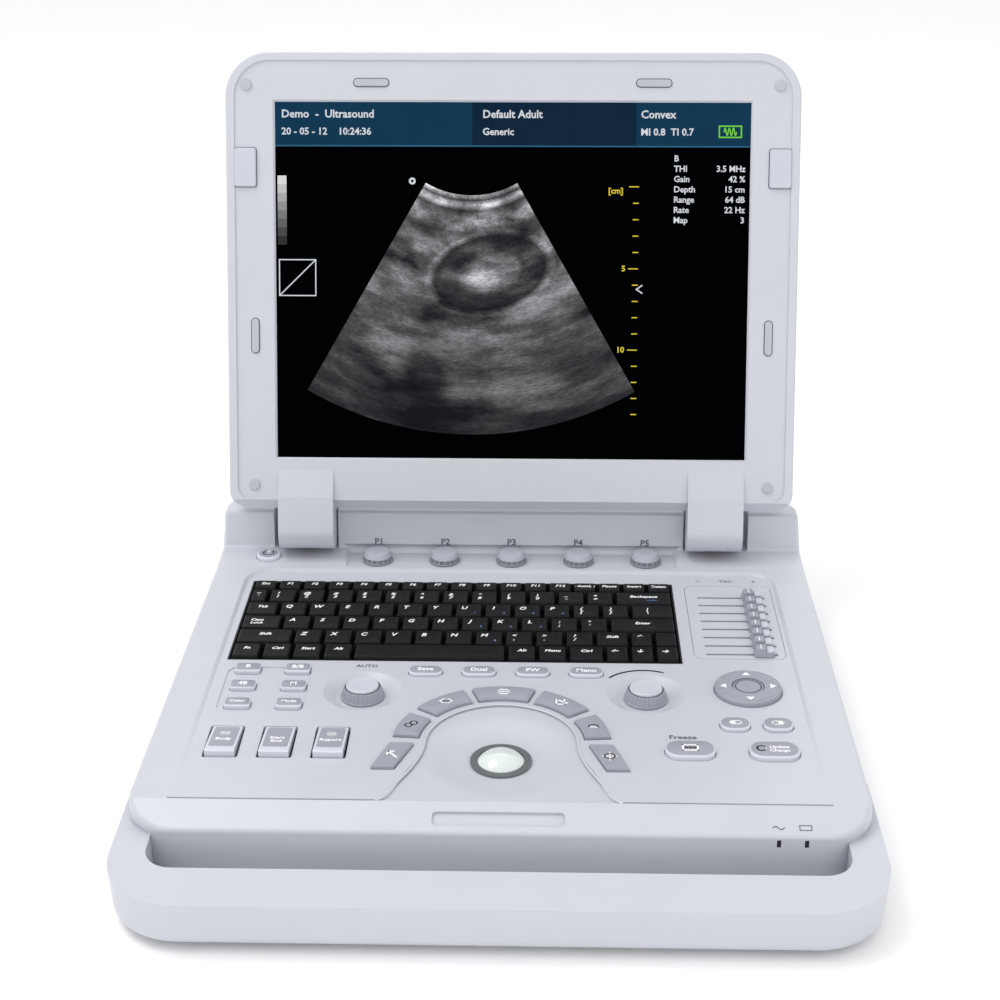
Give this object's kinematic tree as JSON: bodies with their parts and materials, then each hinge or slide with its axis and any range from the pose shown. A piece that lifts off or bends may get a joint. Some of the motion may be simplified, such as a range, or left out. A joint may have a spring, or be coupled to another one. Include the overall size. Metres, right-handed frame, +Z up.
{
  "type": "laptop-style portable ultrasound scanner",
  "caption": "Portable ultrasound scanner shaped like a thick laptop, with a hinged screen lid, keyboard, trackball, knobs, slide controls and a carrying handle at the front",
  "frame": {"origin": "centre of the bounding box at table level, below the feet's contact plane centre", "axes": "+Z up; +X to the user's right along the hinge line; -Y towards the user, the side of the carrying handle"},
  "size_m": [0.3922, 0.4628, 0.3615],
  "materials": {
    "bottom_casing": "satin moulded plastic",
    "carry_handle": "satin moulded plastic",
    "top_casing": "satin moulded plastic",
    "control_panel": "satin moulded plastic",
    "trackball_ring": "dark satin plastic",
    "trackball_cup": "black plastic",
    "trackball": "polished resin",
    "tgc_plate": "satin moulded plastic",
    "keyboard_tray": "black plastic",
    "dpad": "satin grey plastic",
    "dpad_centre": "satin grey plastic",
    "paddle_keys": "grey plate on a white body",
    "power_button": "satin moulded plastic",
    "lid_back_cover": "satin moulded plastic",
    "lid_bezel": "satin moulded plastic",
    "lcd_panel": "smooth dark screen",
    "lid_buffers": "soft grey rubber",
    "lid_catches": "satin plastic",
    "hinge_covers": "satin moulded plastic",
    "hinge_pins": "ground steel",
    "hinge_lugs": "cast and plated",
    "battery_cover": "satin moulded plastic",
    "battery_pack": "black plastic",
    "main_board": "green laminate",
    "fan_frame": "black plastic",
    "fan_rotor": "black plastic",
    "probe_sockets": "dark moulded sockets",
    "io_panel": "dark moulded plate",
    "power_inlet": "black plastic",
    "indicator_lenses": "smoked plastic",
    "rubber_feet": "black rubber",
    "casing_screws": "blackened steel",
    "mode_keys": "satin grey plastic",
    "function_keys": "satin grey plastic",
    "set_keys": "satin grey plastic",
    "freeze_key": "satin grey plastic",
    "update_key": "satin grey plastic",
    "arc_keys": "satin grey plastic",
    "key_row_1": "satin grey plastic",
    "key_row_2": "satin grey plastic",
    "key_row_3": "satin grey plastic",
    "key_row_4": "satin grey plastic",
    "key_row_5": "satin grey plastic",
    "key_row_6": "satin grey plastic",
    "tgc_slider_1": "satin grey plastic",
    "tgc_slider_2": "satin grey plastic",
    "tgc_slider_3": "satin grey plastic",
    "tgc_slider_4": "satin grey plastic",
    "tgc_slider_5": "satin grey plastic",
    "tgc_slider_6": "satin grey plastic",
    "tgc_slider_7": "satin grey plastic",
    "tgc_slider_8": "satin grey plastic",
    "knob_p1": "satin grey plastic",
    "knob_p2": "satin grey plastic",
    "knob_p3": "satin grey plastic",
    "knob_p4": "satin grey plastic",
    "knob_p5": "satin grey plastic",
    "encoder_left": "pale cap on a grey skirt",
    "encoder_right": "pale cap on a grey skirt"
  },
  "bodies": {
    "base": {"bottom_casing": "bottom_casing", "carry_handle": "carry_handle", "top_casing": "top_casing", "control_panel": "control_panel", "trackball_ring": "trackball_ring", "trackball_cup": "trackball_cup", "tgc_plate": "tgc_plate", "keyboard_tray": "keyboard_tray", "hinge_pins": "hinge_pins", "hinge_lugs": "hinge_lugs", "battery_cover": "battery_cover", "battery_pack": "battery_pack", "main_board": "main_board", "fan_frame": "fan_frame", "probe_sockets": "probe_sockets", "io_panel": "io_panel", "power_inlet": "power_inlet", "indicator_lenses": "indicator_lenses", "rubber_feet": "rubber_feet", "casing_screws": "casing_screws"},
    "lid": {"lid_back_cover": "lid_back_cover", "lid_bezel": "lid_bezel", "lcd_panel": "lcd_panel", "lid_buffers": "lid_buffers", "lid_catches": "lid_catches", "hinge_covers": "hinge_covers"},
    "trackball": {"trackball": "trackball"},
    "key_row_1": {"key_row_1": "key_row_1"},
    "key_row_2": {"key_row_2": "key_row_2"},
    "key_row_3": {"key_row_3": "key_row_3"},
    "key_row_4": {"key_row_4": "key_row_4"},
    "key_row_5": {"key_row_5": "key_row_5"},
    "key_row_6": {"key_row_6": "key_row_6"},
    "mode_keys": {"mode_keys": "mode_keys"},
    "function_keys": {"function_keys": "function_keys"},
    "set_keys": {"set_keys": "set_keys"},
    "freeze_key": {"freeze_key": "freeze_key"},
    "update_key": {"update_key": "update_key"},
    "arc_keys": {"arc_keys": "arc_keys"},
    "dpad": {"dpad": "dpad"},
    "dpad_centre": {"dpad_centre": "dpad_centre"},
    "paddle_keys": {"paddle_keys": "paddle_keys"},
    "tgc_slider_1": {"tgc_slider_1": "tgc_slider_1"},
    "tgc_slider_2": {"tgc_slider_2": "tgc_slider_2"},
    "tgc_slider_3": {"tgc_slider_3": "tgc_slider_3"},
    "tgc_slider_4": {"tgc_slider_4": "tgc_slider_4"},
    "tgc_slider_5": {"tgc_slider_5": "tgc_slider_5"},
    "tgc_slider_6": {"tgc_slider_6": "tgc_slider_6"},
    "tgc_slider_7": {"tgc_slider_7": "tgc_slider_7"},
    "tgc_slider_8": {"tgc_slider_8": "tgc_slider_8"},
    "knob_p1": {"knob_p1": "knob_p1"},
    "knob_p2": {"knob_p2": "knob_p2"},
    "knob_p3": {"knob_p3": "knob_p3"},
    "knob_p4": {"knob_p4": "knob_p4"},
    "knob_p5": {"knob_p5": "knob_p5"},
    "encoder_left": {"encoder_left": "encoder_left"},
    "encoder_right": {"encoder_right": "encoder_right"},
    "power_button": {"power_button": "power_button"},
    "fan_rotor": {"fan_rotor": "fan_rotor"}
  },
  "joints": [
    {"name": "lid_hinge", "type": "hinge", "parent": "base", "child": "lid", "pos_m": [0, 0.1305, 0.065], "axis": [1, 0, 0], "range_deg": [-18, 108.5]},
    {"name": "trackball_roll", "type": "hinge", "parent": "base", "child": "trackball", "pos_m": [0, -0.1165, 0.0299], "axis": [1, 0, 0], "continuous": true},
    {"name": "key_row_1_press", "type": "slide", "parent": "base", "child": "key_row_1", "axis": [0, 0, -1], "range_m": [0, 0.002], "stiffness_N_per_m": 772.5, "springref_m": -0.0003},
    {"name": "key_row_2_press", "type": "slide", "parent": "base", "child": "key_row_2", "axis": [0, 0, -1], "range_m": [0, 0.002], "stiffness_N_per_m": 1154.9, "springref_m": -0.0003},
    {"name": "key_row_3_press", "type": "slide", "parent": "base", "child": "key_row_3", "axis": [0, 0, -1], "range_m": [0, 0.002], "stiffness_N_per_m": 1154.9, "springref_m": -0.0003},
    {"name": "key_row_4_press", "type": "slide", "parent": "base", "child": "key_row_4", "axis": [0, 0, -1], "range_m": [0, 0.002], "stiffness_N_per_m": 1162.9, "springref_m": -0.0003},
    {"name": "key_row_5_press", "type": "slide", "parent": "base", "child": "key_row_5", "axis": [0, 0, -1], "range_m": [0, 0.002], "stiffness_N_per_m": 1154.9, "springref_m": -0.0003},
    {"name": "key_row_6_press", "type": "slide", "parent": "base", "child": "key_row_6", "axis": [0, 0, -1], "range_m": [0, 0.002], "stiffness_N_per_m": 1178.9, "springref_m": -0.0003},
    {"name": "mode_keys_press", "type": "slide", "parent": "base", "child": "mode_keys", "axis": [0, 0, -1], "range_m": [0, 0.0015], "stiffness_N_per_m": 221.3, "springref_m": -0.0003},
    {"name": "function_keys_press", "type": "slide", "parent": "base", "child": "function_keys", "axis": [0, 0, -1], "range_m": [0, 0.0015], "stiffness_N_per_m": 197.4, "springref_m": -0.0003},
    {"name": "set_keys_press", "type": "slide", "parent": "base", "child": "set_keys", "axis": [0, 0, -1], "range_m": [0, 0.0015], "stiffness_N_per_m": 102.8, "springref_m": -0.0003},
    {"name": "freeze_key_press", "type": "slide", "parent": "base", "child": "freeze_key", "axis": [0, 0, -1], "range_m": [0, 0.0015], "stiffness_N_per_m": 122.3, "springref_m": -0.0003},
    {"name": "update_key_press", "type": "slide", "parent": "base", "child": "update_key", "axis": [0, 0, -1], "range_m": [0, 0.0015], "stiffness_N_per_m": 122.3, "springref_m": -0.0003},
    {"name": "arc_keys_press", "type": "slide", "parent": "base", "child": "arc_keys", "axis": [0, 0, -1], "range_m": [0, 0.0015], "stiffness_N_per_m": 706.6, "springref_m": -0.0003},
    {"name": "dpad_press", "type": "slide", "parent": "base", "child": "dpad", "axis": [0, 0, -1], "range_m": [0, 0.001], "stiffness_N_per_m": 295.5, "springref_m": -0.0003},
    {"name": "dpad_centre_press", "type": "slide", "parent": "base", "child": "dpad_centre", "axis": [0, 0, -1], "range_m": [0, 0.001], "stiffness_N_per_m": 82.5, "springref_m": -0.0003},
    {"name": "paddle_keys_rock", "type": "hinge", "parent": "base", "child": "paddle_keys", "pos_m": [0, -0.0903, 0.0425], "axis": [1, 0, 0], "range_deg": [0, 3.8], "stiffness_Nm_per_rad": 0.35, "springref_deg": -171.89},
    {"name": "tgc_slider_1_slide", "type": "slide", "parent": "base", "child": "tgc_slider_1", "axis": [1, 0, 0], "range_m": [-0.03, 0.003]},
    {"name": "tgc_slider_2_slide", "type": "slide", "parent": "base", "child": "tgc_slider_2", "axis": [1, 0, 0], "range_m": [-0.03, 0.003]},
    {"name": "tgc_slider_3_slide", "type": "slide", "parent": "base", "child": "tgc_slider_3", "axis": [1, 0, 0], "range_m": [-0.03, 0.003]},
    {"name": "tgc_slider_4_slide", "type": "slide", "parent": "base", "child": "tgc_slider_4", "axis": [1, 0, 0], "range_m": [-0.03, 0.003]},
    {"name": "tgc_slider_5_slide", "type": "slide", "parent": "base", "child": "tgc_slider_5", "axis": [1, 0, 0], "range_m": [-0.03, 0.003]},
    {"name": "tgc_slider_6_slide", "type": "slide", "parent": "base", "child": "tgc_slider_6", "axis": [1, 0, 0], "range_m": [-0.03, 0.003]},
    {"name": "tgc_slider_7_slide", "type": "slide", "parent": "base", "child": "tgc_slider_7", "axis": [1, 0, 0], "range_m": [-0.03, 0.003]},
    {"name": "tgc_slider_8_slide", "type": "slide", "parent": "base", "child": "tgc_slider_8", "axis": [1, 0, 0], "range_m": [-0.03, 0.003]},
    {"name": "knob_p1_turn", "type": "hinge", "parent": "base", "child": "knob_p1", "pos_m": [-0.0873, 0.1241, 0.047], "axis": [0, 0, 1], "continuous": true},
    {"name": "knob_p2_turn", "type": "hinge", "parent": "base", "child": "knob_p2", "pos_m": [-0.0432, 0.1241, 0.047], "axis": [0, 0, 1], "continuous": true},
    {"name": "knob_p3_turn", "type": "hinge", "parent": "base", "child": "knob_p3", "pos_m": [0.0009, 0.1241, 0.047], "axis": [0, 0, 1], "continuous": true},
    {"name": "knob_p4_turn", "type": "hinge", "parent": "base", "child": "knob_p4", "pos_m": [0.045, 0.1241, 0.047], "axis": [0, 0, 1], "continuous": true},
    {"name": "knob_p5_turn", "type": "hinge", "parent": "base", "child": "knob_p5", "pos_m": [0.0891, 0.1241, 0.047], "axis": [0, 0, 1], "continuous": true},
    {"name": "encoder_left_turn", "type": "hinge", "parent": "base", "child": "encoder_left", "pos_m": [-0.081, -0.0485, 0.047], "axis": [0, 0, 1], "continuous": true},
    {"name": "encoder_right_turn", "type": "hinge", "parent": "base", "child": "encoder_right", "pos_m": [0.081, -0.0485, 0.047], "axis": [0, 0, 1], "continuous": true},
    {"name": "power_button_press", "type": "slide", "parent": "base", "child": "power_button", "axis": [0, 0, -1], "range_m": [0, 0.0015], "stiffness_N_per_m": 100.9, "springref_m": -0.0003},
    {"name": "fan_spin", "type": "hinge", "parent": "base", "child": "fan_rotor", "pos_m": [-0.15, 0.1135, 0.012], "axis": [0, 0, 1], "continuous": true}
  ]
}
